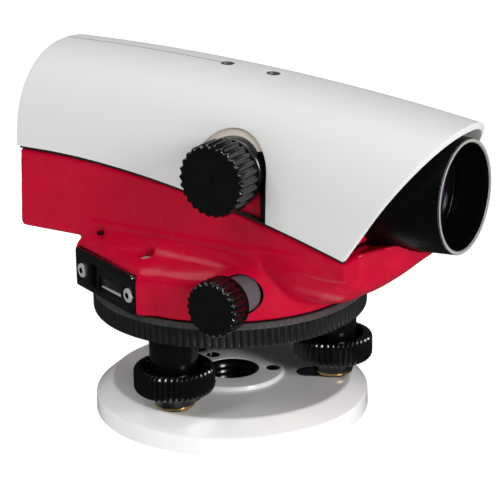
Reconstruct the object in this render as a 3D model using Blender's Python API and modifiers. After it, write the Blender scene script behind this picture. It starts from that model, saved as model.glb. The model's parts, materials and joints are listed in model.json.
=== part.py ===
"""Automatic level: a surveyor's self-levelling telescope on a tribrach with three foot screws.

Frame: the origin is the centre of the base plate's underside, +X is the line of sight towards the
objective and +Z is up.  The user stands at -X, so the focusing knob is on the -Y side.
Lengths below are in millimetres and become metres where the meshes are made.
"""

import math

import bmesh
import bpy
from mathutils import Matrix, Vector

MM = 0.001
GAP = 0.3  # clearance between pieces that touch

# Base plate and foot screws
BASE_R = 45.5
BASE_TOP = 10.6
BASE_BAND = 6.0  # height of the plate's upright rim
BOSS_R = 17.4
BOSS_TOP = 12.0
TRIPOD_HOLE_R = 8.2  # clears the 5/8 inch tripod screw
FOOT_R = 33.9  # foot screws stand on this radius
FOOT_ANGLES = {"a": 30, "b": 150, "c": 270}
BALL_Z = 7.0
BALL_R = 4.0
SOCKET_R = 5.2
SLOT_HALF_WIDTH = 3.9
SLOT_INNER_R = 25.5
FOOT_KNOB_R = 13.1
FOOT_KNOB_Z = (15.6, 24.9)
SPINDLE_R = 2.2
SPINDLE_Z = (13.4, 39.5)
BUSH_R = (3.7, 5.4)
NECK_R = 7.7
NECK_BOTTOM = 21.4

# Tribrach, horizontal circle and worm drive
TRIBRACH_R = 41.8
TRIBRACH_Z = (37.0, 41.2)
HUB_R = 13.0
HUB_BORE_R = 10.5
HUB_Z = (31.0, 55.4)
AXIS_R = 7.0
RING_R = 45.2
RING_Z = (36.0, 43.9)
KNURL_TOP = 42.3
WHEEL_R = 22.0
WHEEL_TEETH = 60
DRIVE_X = 25.3
DRIVE_Z = 53.0
DRIVE_KNOB_R = 9.0
DRIVE_KNOB_Y = (41.6, 50.5)
DRIVE_RECESS_R = 6.6

# Housing and cover
REAR_X = -62.9
FRONT_X = 60.0
FLOOR_Z = 60.4
CREST = (116.47, -0.0677, -0.00057)  # height of the cover's ridge: a + b x + c x^2
HALF_WIDTH = 29.3
ARCH_HEIGHT = 30.0
ARCH_POWER = 2.24
SIDE_DRAFT = 0.06
COVER_WALL = 2.2
HOUSING_INSET = 1.0  # the red side wall lies this far inside the cover's face
HOUSING_WALL = 2.6
HEM_REAR_Z = 88.0
HEM_TURN_X = -52.0
HEM_DROP = 0.00514
HEM_POWER = 1.75
COVER_TIP = (85.7, 106.5)
COVER_CORNER = (60.2, 68.4)
NOTCH = (19.6, 90.4, 12.9)  # x, z and radius of the cover's notch round the focusing knob

# Lower block
BLOCK_BOTTOM = 44.3
BLOCK_R = 44.0
WALL_TOP = 57.5
SHOULDER_Z = 61.5
CREASE_Z = 65.0
POD_NORMAL = 245.2  # direction that the reading window's flat faces, in degrees
POD_DISTANCE = 44.1
BLOCK_ANGLES = [180, 190, 200, 209, 215.8, 225, 245, 262.5, 267, 272]  # corners of the lower block
BLOCK_ANGLES += [281, 290, 300, 310, 320, 330, 340, 350, 360]
LEVEL_CENTRE = (-25.0, 38.6)

# Telescope
TUBE_Z = 84.4
RIM_X = 85.5
RIM_R = 17.9
RIM_BORE_R = 16.7
ROOT_R = 19.3
FOCUS_X = 20.0
FOCUS_Z = 90.4
FOCUS_KNOB_R = 11.6
FOCUS_KNOB_Y = (29.6, 41.0)
PINION_R = 2.2
PENDULUM_PIVOT = (-20.0, 101.0)

PARTS = "automatic_level"
CUTTERS = "cutters"

PAINT = {
    # name: (colour, roughness, metallic)
    "white_enamel": ((0.80, 0.80, 0.79), 0.25, 0.0),
    "cover_white": ((0.72, 0.73, 0.74), 0.45, 0.0),
    "red_paint": ((0.46, 0.005, 0.03), 0.35, 0.0),
    "black_satin": ((0.012, 0.012, 0.013), 0.4, 0.0),
    "black_anodised": ((0.015, 0.015, 0.016), 0.35, 0.6),
    "grey_plastic": ((0.10, 0.10, 0.11), 0.5, 0.0),
    "rubber": ((0.015, 0.015, 0.015), 0.8, 0.0),
    "brass": ((0.62, 0.42, 0.16), 0.35, 1.0),
    "steel": ((0.60, 0.60, 0.60), 0.3, 1.0),
    "aluminium": ((0.70, 0.70, 0.71), 0.35, 1.0),
    "glass": ((0.85, 0.92, 0.95), 0.05, 0.0),
    "mirror": ((0.90, 0.90, 0.90), 0.05, 1.0),
}


# ---------------------------------------------------------------- scene and modelling helpers


def clear_scene():
    for item in list(bpy.data.objects):
        bpy.data.objects.remove(item)


def collection(name):
    made = bpy.data.collections.get(name) or bpy.data.collections.new(name)
    if made.name not in bpy.context.scene.collection.children:
        bpy.context.scene.collection.children.link(made)
    return made


def material(name):
    made = bpy.data.materials.get(name)
    if made:
        return made
    colour, roughness, metallic = PAINT[name]
    made = bpy.data.materials.new(name)
    made.use_nodes = True
    shader = made.node_tree.nodes["Principled BSDF"]
    shader.inputs["Base Color"].default_value = (*colour, 1.0)
    shader.inputs["Roughness"].default_value = roughness
    shader.inputs["Metallic"].default_value = metallic
    made.diffuse_color = (*colour, 1.0)
    return made


def place(name, mesh, finish=None):
    """A named object in the parts collection, or a cutter when it has no finish."""
    item = bpy.data.objects.new(name, mesh)
    if finish:
        mesh.materials.clear()
        mesh.materials.append(material(finish))
        collection(PARTS).objects.link(item)
    else:
        collection(CUTTERS).objects.link(item)
        item.hide_render = True
        item.display_type = "WIRE"
    return item


def settled(item):
    """The object's evaluated mesh, welded, with its modifiers cleared and its round faces smooth."""
    bpy.context.view_layer.update()
    graph = bpy.context.evaluated_depsgraph_get()
    mesh = bpy.data.meshes.new_from_object(item.evaluated_get(graph))
    work = bmesh.new()
    work.from_mesh(mesh)
    bmesh.ops.remove_doubles(work, verts=work.verts, dist=0.000005)
    work.to_mesh(mesh)
    work.free()
    mesh.shade_smooth()
    mesh.set_sharp_from_angle(angle=math.radians(35))
    return mesh


AXIS_TURN = {
    "X": Matrix.Rotation(math.radians(90), 4, "Y"),
    "Y": Matrix.Rotation(math.radians(-90), 4, "X"),
    "Z": Matrix.Identity(4),
}


def turned(name, profile, finish=None, centre=(0, 0, 0), axis="Z", steps=24):
    """A profile of (radius, height) pairs turned about an axis; it runs down its outer side."""
    mesh = bpy.data.meshes.new(name)
    points = [(r * MM, 0, h * MM) for r, h in profile]
    links = [(i, i + 1) for i in range(len(points) - 1)]
    if profile[0][0] > 0:
        links.append((len(points) - 1, 0))
    mesh.from_pydata(points, links, [])
    item = place(name, mesh, finish)
    screw = item.modifiers.new("turn", "SCREW")
    screw.steps = steps
    screw.render_steps = steps
    screw.use_merge_vertices = True
    screw.merge_threshold = 0.00001
    item.data = settled(item)
    item.modifiers.clear()
    item.matrix_world = Matrix.Translation(Vector(centre) * MM) @ AXIS_TURN[axis]
    return item


def rod(name, radius, low, high, finish=None, centre=(0, 0), axis="Z", steps=20):
    """A plain cylinder from low to high along an axis; centre holds the other two coordinates."""
    where = {"X": (0, *centre), "Y": (centre[0], 0, centre[1]), "Z": (*centre, 0)}[axis]
    profile = [(0, high), (radius, high), (radius, low), (0, low)]
    return turned(name, profile, finish, where, axis, steps)


def sleeve(name, inner, outer, low, high, finish=None, centre=(0, 0), axis="Z", steps=20):
    """A plain tube from low to high along an axis."""
    where = {"X": (0, *centre), "Y": (centre[0], 0, centre[1]), "Z": (*centre, 0)}[axis]
    profile = [(inner, high), (outer, high), (outer, low), (inner, low)]
    return turned(name, profile, finish, where, axis, steps)


def block(name, low, high, finish=None, bevel=0.0, origin=None):
    """A box between two corners, its edges rounded by bevel; its origin is its middle unless given."""
    work = bmesh.new()
    size = [h - l for l, h in zip(low, high)]
    middle = [(h + l) / 2 for l, h in zip(low, high)]
    origin = origin or middle
    bmesh.ops.create_cube(work, size=1.0)
    bmesh.ops.scale(work, vec=[s * MM for s in size], verts=work.verts)
    bmesh.ops.translate(work, vec=[(m - o) * MM for m, o in zip(middle, origin)], verts=work.verts)
    mesh = bpy.data.meshes.new(name)
    work.to_mesh(mesh)
    work.free()
    item = place(name, mesh, finish)
    item.location = [o * MM for o in origin]
    if bevel:
        rounding = item.modifiers.new("round", "BEVEL")
        rounding.width = bevel * MM
        rounding.segments = 2
    return item


def outline(name, loops, low, high, finish=None, turn=None):
    """A flat outline, with holes for its further loops, given a thickness from low to high."""
    curve = bpy.data.curves.new(name, "CURVE")
    curve.dimensions = "2D"
    curve.fill_mode = "BOTH"
    curve.extrude = (high - low) / 2 * MM
    for loop in loops:
        spline = curve.splines.new("POLY")
        spline.points.add(len(loop) - 1)
        for point, (x, y) in zip(spline.points, loop):
            point.co = (x * MM, y * MM, 0, 1)
        spline.use_cyclic_u = True
    item = bpy.data.objects.new(name, curve)
    collection(PARTS).objects.link(item)
    mesh = settled(item)
    bpy.data.objects.remove(item)
    bpy.data.curves.remove(curve)
    made = place(name, mesh, finish)
    made.matrix_world = (turn or Matrix.Identity(4)) @ Matrix.Translation((0, 0, (low + high) / 2 * MM))
    return made


SIDEWAYS = Matrix.Rotation(math.radians(90), 4, "X")  # local x, y, z become world x, z, -y


def loft(name, rings, finish=None):
    """A closed solid through rings of equally many points, for sections that differ."""
    count = len(rings[0])
    points = [tuple(value * MM for value in point) for ring in rings for point in ring]
    faces = []
    for i in range(len(rings) - 1):
        for j in range(count):
            k = (j + 1) % count
            faces.append((i * count + j, i * count + k, (i + 1) * count + k, (i + 1) * count + j))
    faces.append(tuple(reversed(range(count))))
    faces.append(tuple((len(rings) - 1) * count + j for j in range(count)))
    mesh = bpy.data.meshes.new(name)
    mesh.from_pydata(points, [], faces)
    work = bmesh.new()
    work.from_mesh(mesh)
    bmesh.ops.recalc_face_normals(work, faces=work.faces)
    bmesh.ops.triangulate(work, faces=[face for face in work.faces if len(face.verts) > 4])
    work.to_mesh(mesh)
    work.free()
    mesh.shade_smooth()
    mesh.set_sharp_from_angle(angle=math.radians(35))
    return place(name, mesh, finish)


def combine(item, others, operation):
    for other in others:
        step = item.modifiers.new(other.name, "BOOLEAN")
        step.object = other
        step.operation = operation
        step.solver = "EXACT"
    return item


def cut(item, *cutters):
    return combine(item, cutters, "DIFFERENCE")


def join(item, *others):
    return combine(item, others, "UNION")


def apply(item):
    """Makes the object's Booleans final, so that the next ones start from a clean mesh."""
    item.data = settled(item)
    item.modifiers.clear()


def polar(radius, degrees):
    angle = math.radians(degrees)
    return radius * math.cos(angle), radius * math.sin(angle)


def circle(radius, centre=(0, 0), count=32):
    angles = [math.tau * i / count for i in range(count)]
    return [(centre[0] + radius * math.cos(a), centre[1] + radius * math.sin(a)) for a in angles]


def ribbed(radius, depth, ribs, points_each=4):
    """A knob's outline: round ribs, with the valleys the given depth inside the radius."""
    made = []
    for i in range(ribs * points_each):
        angle = math.tau * i / (ribs * points_each)
        wave = 0.5 - 0.5 * math.cos(angle * ribs)
        made.append(((radius - depth * wave) * math.cos(angle), (radius - depth * wave) * math.sin(angle)))
    return made


# ---------------------------------------------------------------- base plate and foot screws


def stadium(half_width, inner, outer, direction, count=8):
    """A slot's outline from one radius to another along a direction."""
    ends = []
    for centre, start in ((outer, -90), (inner, 90)):
        for i in range(count + 1):
            angle = start + 180 * i / count
            ends.append((centre + polar(half_width, angle)[0], polar(half_width, angle)[1]))
    c = math.cos(math.radians(direction))
    s = math.sin(math.radians(direction))
    return [(x * c - y * s, x * s + y * c) for x, y in ends]


def base_plate():
    profile = [
        (TRIPOD_HOLE_R, BOSS_TOP),
        (BOSS_R - 0.5, BOSS_TOP),
        (BOSS_R, BOSS_TOP - 0.5),
        (BOSS_R + 0.3, BASE_TOP),
        (BASE_R - 5.6, BASE_TOP),
        (BASE_R - 3.6, BASE_TOP - 0.9),
        (BASE_R - 0.9, BASE_BAND + 1.0),
        (BASE_R, BASE_BAND - 0.6),
        (BASE_R, 0.6),
        (BASE_R - 0.6, 0),
        (TRIPOD_HOLE_R, 0),
    ]
    plate = turned("base_plate", profile, "white_enamel", steps=48)
    for key, angle in FOOT_ANGLES.items():
        x, y = polar(FOOT_R, angle)
        slot = outline(
            f"slot_{key}",
            [stadium(SLOT_HALF_WIDTH, SLOT_INNER_R, FOOT_R, angle)],
            BALL_Z - BALL_R - 0.4,
            BASE_TOP + 2,
        )
        socket = rod(f"socket_{key}", SOCKET_R, BALL_Z - BALL_R - 0.7, BASE_TOP + 3, centre=(x, y))
        eye = rod(f"eye_{key}", 2.3, -1, BOSS_TOP + 1, centre=polar(13.8, angle), steps=12)
        cut(plate, slot, socket, eye)
    return plate


def foot_spring(key, angle):
    """Brass leaf in the slot, with a hole that the foot's stem passes through."""
    hole = circle(3.1, polar(FOOT_R, angle), 14)
    edge = stadium(SLOT_HALF_WIDTH - 0.4, SLOT_INNER_R + 0.2, FOOT_R, angle, 6)
    return outline(f"foot_spring_{key}", [edge, hole], 9.8, 10.4, "brass")


def ball_profile(stem_top):
    arc = [polar(BALL_R, a) for a in (50, 25, 0, -25, -50, -75)]
    stem_r = arc[0][0] - 0.15
    return [(0, stem_top), (stem_r, stem_top)] + [(r, BALL_Z + h) for r, h in arc] + [(0, BALL_Z - BALL_R)]


def foot_screw(key, angle):
    centre = polar(FOOT_R, angle)
    low, high = FOOT_KNOB_Z
    knob = [
        (9.7, high - 0.6),
        (10.2, high),
        (FOOT_KNOB_R - 0.9, high),
        (FOOT_KNOB_R, high - 0.9),
        (FOOT_KNOB_R, low + 1.3),
        (FOOT_KNOB_R - 0.9, low + 0.5),
        (7.2, low),
        (6.6, 11.4),
        (3.4, 11.4),
        (3.4, 14.2),
        (SPINDLE_R + GAP, 14.2),
        (SPINDLE_R + GAP, 19.0),
        (9.7, 19.0),
    ]
    turned(f"foot_knob_{key}", knob, "black_satin", (*centre, 0), steps=28)
    bottom, top = SPINDLE_Z
    if key == "c":
        screw = ball_profile(top)
        screw[1] = (SPINDLE_R, top)
        screw.insert(2, (SPINDLE_R, 10.5))
        turned("foot_spindle_c", screw, "steel", (*centre, 0), steps=14)
    else:
        turned(f"foot_ball_{key}", ball_profile(bottom - GAP), "steel", (*centre, 0), steps=14)
        rod(f"foot_spindle_{key}", SPINDLE_R, bottom, top, "steel", centre, steps=14)


# ---------------------------------------------------------------- tribrach, circle and worm drive


def tribrach():
    low, high = TRIBRACH_Z
    profile = [
        (HUB_BORE_R, HUB_Z[1]),
        (HUB_R, HUB_Z[1]),
        (HUB_R, high),
        (TRIBRACH_R, high),
        (TRIBRACH_R, low),
        (HUB_R + 2, low),
        (HUB_R + 2, HUB_Z[0]),
        (HUB_BORE_R, HUB_Z[0]),
    ]
    body = turned("tribrach", profile, "black_satin", steps=48)
    for key, angle in FOOT_ANGLES.items():
        centre = polar(FOOT_R, angle)
        neck = rod(f"neck_{key}", NECK_R, NECK_BOTTOM, high - 1, centre=centre, steps=28)
        bore = rod(f"neck_bore_{key}", BUSH_R[1] + GAP, NECK_BOTTOM - 1, high + 1, centre=centre)
        join(body, neck)
        cut(body, bore)
    return body


def foot_bush(key, angle):
    inner, outer = BUSH_R
    sleeve(f"foot_bush_{key}", inner, outer, 22.2, 38.4, "brass", polar(FOOT_R, angle), steps=16)


def circle_ring():
    low, high = RING_Z
    wall = TRIBRACH_R + 0.4
    profile = [
        (wall + 0.4, high),
        (RING_R - 1.3, high),
        (RING_R, KNURL_TOP),
        (RING_R, low + 0.3),
        (RING_R - 0.3, low),
        (wall, low),
        (wall, high - 2.1),
        (36.2, high - 2.1),
        (36.2, high - 1.3),
        (wall + 0.4, high - 1.3),
    ]
    turned("circle_ring", profile, "black_satin", steps=56)
    sleeve("graduated_circle", 36.2, TRIBRACH_R + 0.4, high - 1.0, high - 0.2, "aluminium", steps=40)


def vertical_axis():
    sleeve("axis_sleeve", AXIS_R + GAP, HUB_BORE_R - GAP, HUB_Z[0] + 0.2, HUB_Z[1] - 0.4, "brass")
    profile = [(0, 58.0), (14.0, 58.0), (14.0, 56.0), (AXIS_R, 56.0), (AXIS_R, 32.0), (0, 32.0)]
    turned("vertical_axis", profile, "steel", steps=24)


def worm_drive():
    teeth = []
    for i in range(WHEEL_TEETH * 2):
        radius = WHEEL_R if i % 2 else WHEEL_R - 1.2
        teeth.append(polar(radius, 360 * i / (WHEEL_TEETH * 2)))
    outline("worm_wheel", [teeth, circle(HUB_R + GAP, count=28)], DRIVE_Z - 2, DRIVE_Z + 2, "brass")
    knob_inner, knob_outer = DRIVE_KNOB_Y
    shaft = [(0, 48.0), (1.8, 48.0), (1.8, 8.0)]
    turns = 6
    for i in range(turns):
        top = 7.0 - 14.0 * i / turns
        shaft += [(2.0, top), (3.0, top - 0.9), (3.0, top - 1.3)]
    shaft += [(1.8, -8.0), (1.8, -48.0), (0, -48.0)]
    turned("worm_shaft", shaft, "steel", (DRIVE_X, 0, DRIVE_Z), "Y", 14)
    for side, sign in (("right", -1), ("left", 1)):
        ends = sorted((sign * knob_inner, sign * knob_outer))
        flip = Matrix.Translation((DRIVE_X * MM, 0, DRIVE_Z * MM)) @ SIDEWAYS
        knob = outline(
            f"drive_knob_{side}", [ribbed(DRIVE_KNOB_R, 0.7, 24)], -ends[1], -ends[0], "black_satin", flip
        )
        bore_ends = sorted((sign * (knob_inner - 1), sign * 48.3))
        cut(knob, rod(f"drive_knob_bore_{side}", 2.1, *bore_ends, centre=(DRIVE_X, DRIVE_Z), axis="Y"))
        bush_ends = sorted((sign * 31.0, sign * 40.9))
        sleeve(
            f"drive_bush_{side}", 2.1, 6.1, *bush_ends, "grey_plastic", (DRIVE_X, DRIVE_Z), "Y", 20
        )


# ---------------------------------------------------------------- housing and cover


def crest(x):
    return CREST[0] + CREST[1] * x + CREST[2] * x * x


def hem(x):
    """Height of the cover's lower edge."""
    return HEM_REAR_Z - HEM_DROP * max(x - HEM_TURN_X, 0) ** HEM_POWER


def arch_ring(x, inset, bottom, corner=0.0, steps=7):
    """The housing's cross-section at x: an arched top on sides that flare a little, and a flat floor."""
    width = HALF_WIDTH - inset
    height = ARCH_HEIGHT - inset
    spring = crest(x) - ARCH_HEIGHT  # where the arch meets the side wall
    side = []
    for i in range(steps + 1):
        angle = math.pi / 2 * i / steps
        y = width * math.cos(angle) ** (2 / ARCH_POWER)
        side.append((x, y, spring + height * math.sin(angle) ** (2 / ARCH_POWER)))
    foot = width + SIDE_DRAFT * (spring - bottom)
    lower = [(x, foot, bottom + corner)]
    if corner:
        lower = [
            (x, foot - corner, bottom),
            (x, foot - 0.3 * corner, bottom + 0.3 * corner),
            (x, foot, bottom + corner),
        ]
    half = lower + side
    mirrored = [(x, -y, z) for x, y, z in reversed(half[:-1])]
    return half + mirrored


def arch_solid(name, inset, bottom, start, end, stations=6, corner=0.0, finish=None):
    xs = [start + (end - start) * i / (stations - 1) for i in range(stations)]
    return loft(name, [arch_ring(x, inset, bottom, corner) for x in xs], finish)


def hem_outline(drop, tip_x, steps=14):
    """The region below the hem, lowered by drop, and ahead of the cover's slanted front edge."""
    points = [(REAR_X - 5, hem(REAR_X) - drop)]
    for i in range(steps + 1):
        x = REAR_X + (COVER_CORNER[0] - REAR_X) * i / steps
        points.append((x, hem(x) - drop))
    slope = (COVER_TIP[0] - COVER_CORNER[0]) / (COVER_TIP[1] - COVER_CORNER[1])
    top = 125.0
    points.append((COVER_TIP[0] + slope * (top - COVER_TIP[1]), top))
    points += [(tip_x, top), (tip_x, 30), (REAR_X - 5, 30)]
    return points


def top_cover():
    cover = arch_solid("top_cover", 0, 60, REAR_X, COVER_TIP[0] + 6, 9, finish="cover_white")
    hollow = arch_solid("cover_hollow", COVER_WALL, 50, REAR_X - 2, COVER_TIP[0] + 9, 9)
    trim = outline("cover_trim", [hem_outline(0, 110)], -60, 60, turn=SIDEWAYS)
    x, z, radius = NOTCH
    notch = [(x + polar(radius, a)[0], z + polar(radius, a)[1]) for a in range(0, 181, 15)]
    notch += [(x - radius, 60), (x + radius, 60)]
    mouth = outline("cover_notch", [notch], 12, 60, turn=SIDEWAYS)
    cut(cover, hollow, trim, mouth)
    for name, screw_x in (("rear", 0.9), ("front", 18.0)):
        top = crest(screw_x)
        cut(cover, rod(f"cover_screw_hole_{name}", 2.0, top - 5, top + 2, centre=(screw_x, 0), steps=14))
        head = [(0, -1.0), (1.7, -1.0), (1.7, -2.4), (1.0, -2.4), (1.0, -9), (0, -9)]
        screw = [(radius, top + depth) for radius, depth in head]
        turned(f"cover_screw_{name}", screw, "steel", (screw_x, 0, 0), steps=12)


def gaskets():
    """A strip under each side of the cover's hem."""
    for side, sign in (("right", -1), ("left", 1)):
        rings = []
        steps = 12
        for i in range(steps + 1):
            x = REAR_X + 0.6 + (FRONT_X - 1.2 - REAR_X) * i / steps
            top = hem(x) - 0.2
            wall = HALF_WIDTH + SIDE_DRAFT * max(crest(x) - ARCH_HEIGHT - top, 0)
            outer, inner = wall - 0.7, wall - 2.1
            rings.append(
                [
                    (x, sign * inner, top - 0.7),
                    (x, sign * outer, top - 0.7),
                    (x, sign * outer, top),
                    (x, sign * inner, top),
                ]
            )
        loft(f"cover_gasket_{side}", rings, "rubber")


def pod_radius(angle):
    """Distance from the axis to the block's wall at an angle, for the half with y below 0."""
    corner, shoulder, blend = 215.8, 262.5, 272.0
    if corner <= angle <= shoulder:
        return POD_DISTANCE / math.cos(math.radians(angle - POD_NORMAL))
    corner_r = POD_DISTANCE / math.cos(math.radians(corner - POD_NORMAL))
    if 180 <= angle < corner:
        share = (angle - 180) / (corner - 180)
        return 43.2 + (corner_r - 43.2) * share**1.8
    if shoulder < angle < blend:
        shoulder_r = POD_DISTANCE / math.cos(math.radians(shoulder - POD_NORMAL))
        share = (angle - shoulder) / (blend - shoulder)
        return shoulder_r + (BLOCK_R - shoulder_r) * share
    return BLOCK_R


def block_ring(z, shrink=0.0, waist=0.0):
    """The lower block's outline at a height; waist draws it in towards the narrow upper body."""
    half = []
    for angle in BLOCK_ANGLES:
        radius = pod_radius(angle) - shrink
        x, y = polar(radius, angle)
        narrow_y = max(y, -(HALF_WIDTH + 0.9))
        narrow_x = max(min(x, 36.5), -36.0)
        half.append((x + (narrow_x - x) * waist, y + (narrow_y - y) * waist, z))
    other = [(x, -y, z) for x, y, z in reversed(half[1:-1])]
    return half + other


def hull_ring(x, width, top, bottom, steps=8):
    """A boat-shaped section: flat on top, curved underneath."""
    made = []
    for i in range(steps * 2 + 1):
        angle = math.pi * i / (steps * 2)
        y = width * math.copysign(abs(math.cos(angle)) ** 0.8, math.cos(angle))
        made.append((x, y, top - (top - bottom) * math.sin(angle) ** 0.8))
    return made


def pod_frame():
    """Local x along the reading window's face, y up and z out of it, with its origin at mid face."""
    turn = Matrix.Rotation(math.radians(POD_NORMAL + 90), 4, "Z") @ SIDEWAYS
    x, y = polar(POD_DISTANCE, POD_NORMAL)
    return Matrix.Translation((x * MM, y * MM, 51.0 * MM)) @ turn


def main_housing():
    body = arch_solid("main_housing", HOUSING_INSET, FLOOR_Z, REAR_X + 0.3, FRONT_X, 8, 2.4, "red_paint")
    ledge = outline("hem_ledge", [hem_ledge_points()], -60, 60, turn=SIDEWAYS)
    inner = arch_solid("inner_walls", COVER_WALL + GAP, 70, REAR_X + 0.9, FRONT_X - 0.9, 8)
    lower = loft(
        "lower_block",
        [
            block_ring(BLOCK_BOTTOM),
            block_ring(WALL_TOP - 1.6),
            block_ring(WALL_TOP + 1.1, 0.6, 0.13),
            block_ring(SHOULDER_Z, 1.2, 0.43),
            block_ring(CREASE_Z, 1.5, 1.0),
            block_ring(CREASE_Z + 2, 3.0, 1.0),
        ],
    )
    hull = loft(
        "front_hull",
        [
            hull_ring(20, 29.6, 67.4, BLOCK_BOTTOM + 4.1),
            hull_ring(36, 29.9, 67.4, BLOCK_BOTTOM + 0.7),
            hull_ring(45.3, 29.5, 67.4, BLOCK_BOTTOM + 1.6),
            hull_ring(52, 28.8, 67.4, 48.0),
            hull_ring(FRONT_X - 0.4, 27.0, 67.4, 53.2),
        ],
    )
    chin = loft(
        "chin",
        [
            hull_ring(48.6, 23.0, 66.5, 47.0),
            hull_ring(56, 22.6, 67.0, 50.2),
            hull_ring(63, 17.5, 68.6, 55.1),
            hull_ring(69, 12.0, 70.0, 60.2),
            hull_ring(74.2, 6.0, 70.5, 64.4),
        ],
    )
    cut(body, ledge)
    join(body, inner, lower, hull, chin)
    apply(body)
    upper_hollow = arch_solid(
        "upper_hollow", COVER_WALL + GAP + HOUSING_WALL, FLOOR_Z + 3, REAR_X + 3.3, FRONT_X - 3, 6
    )
    hatch = block("hatch", (REAR_X + 8, -22, 84), (FRONT_X - 8, 22, 130))
    lower_hollow = loft(
        "lower_hollow",
        [
            block_ring(BLOCK_BOTTOM - 1, 3.0),
            block_ring(WALL_TOP - 3, 3.0),
            block_ring(58.3, 7.0, 0.35),
        ],
    )
    cut(body, upper_hollow, hatch, lower_hollow)
    apply(body)
    bore = [(0, 96), (tube_radius(96) + GAP, 96), (tube_radius(50) + GAP, 50), (0, 50)]
    cut(body, turned("tube_bore", bore, None, (0, 0, TUBE_Z), "X", 40))
    cut(body, rod("eyepiece_bore", 9.6, -70, -50, centre=(0, TUBE_Z), axis="X", steps=28))
    for side, sign in (("right", -1), ("left", 1)):
        ends = sorted((sign * 25, sign * 60))
        cut(body, rod(f"drive_recess_{side}", DRIVE_RECESS_R, *ends, centre=(DRIVE_X, DRIVE_Z), axis="Y"))
    cut(body, rod("focus_bore", 5.0, -60, -15, centre=(FOCUS_X, FOCUS_Z), axis="Y"))
    apply(body)
    frame = pod_frame()
    cut(body, outline("plate_recess", [plate_outline(0.25)], -1.0, 12, turn=frame))
    cut(body, outline("reading_port", [rectangle(-12, 5, -4, 4)], -14, 1, turn=frame))
    cut(body, rod("shoulder_screw_hole", 2.6, 55.0, 70, centre=(-8.5, -34.8), steps=16))
    cut(body, rod("level_pocket", 9.0, 56.4, 72, centre=LEVEL_CENTRE, steps=28))
    return body


def hem_ledge_points(steps=14):
    """The region above the ledge that the gasket lies on."""
    points = [(REAR_X - 5, hem(REAR_X) - 1.2)]
    for i in range(steps + 1):
        x = REAR_X + (FRONT_X + 6 - REAR_X) * i / steps
        points.append((x, hem(x) - 1.2))
    points += [(FRONT_X + 6, 130), (REAR_X - 5, 130)]
    return points


# ---------------------------------------------------------------- reading window and screws


def rectangle(left, right, bottom, top):
    return [(left, bottom), (right, bottom), (right, top), (left, top)]


def plate_outline(grow=0.0):
    """The reading window's plate, seen from outside: its upper corners are cut a little."""
    left, right, bottom, top = -22.6 - grow, 14.8 + grow, -6.4 - grow, 6.6 + grow
    return [(left, bottom), (right, bottom), (right, top - 2), (right - 2, top), (left, top)]


def reading_window():
    frame = pod_frame()
    plate = outline("reading_plate", [plate_outline()], -0.7, 0.9, "black_satin", frame)
    opening = outline("window_opening", [rectangle(-12, 5, -3.6, 3.0)], -3, 3, turn=frame)
    cut(plate, opening)
    outline("reading_glass", [rectangle(-11.7, 4.7, -3.3, 2.7)], -0.6, 0.2, "glass", frame)
    for name, along in (("rear", -18.7), ("front", 11.2)):
        hole = outline(f"plate_screw_hole_{name}", [circle(2.7, (along, -0.6), 16)], 0.1, 3, turn=frame)
        cut(plate, hole)
        screw = outline(f"plate_screw_{name}", [circle(2.4, (along, -0.6), 16)], 0.4, 1.5, "steel", frame)
        key = [(along + polar(1.1, 60 * i)[0], -0.6 + polar(1.1, 60 * i)[1]) for i in range(6)]
        cut(screw, outline(f"plate_screw_key_{name}", [key], 0.9, 3, turn=frame))
    head = [(0, 59.6), (2.2, 59.6), (2.2, 57.4), (1.4, 57.4), (1.4, 55.4), (0, 55.4)]
    turned("shoulder_screw", head, "steel", (-8.5, -34.8, 0), steps=14)


# ---------------------------------------------------------------- telescope


def tube_radius(x):
    """The objective tube's outer radius, which shrinks a little towards the rim."""
    return RIM_R + (ROOT_R - RIM_R) * (RIM_X - x) / (RIM_X - FRONT_X)


def objective():
    profile = [
        (RIM_BORE_R, RIM_X),
        (RIM_R, RIM_X),
        (tube_radius(52), 52),
        (RIM_BORE_R, 52),
        (RIM_BORE_R, 66),
        (RIM_BORE_R - 1.4, 66.3),
        (RIM_BORE_R - 1.4, 67.7),
        (RIM_BORE_R, 68),
    ]
    turned("objective_tube", profile, "black_anodised", (0, 0, TUBE_Z), "X", 48)
    lens = [(0, 73.6), (8, 72.9), (16.3, 71.0), (16.3, 68.3), (0, 68.3)]
    turned("objective_lens", lens, "glass", (0, 0, TUBE_Z), "X", 32)


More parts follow.
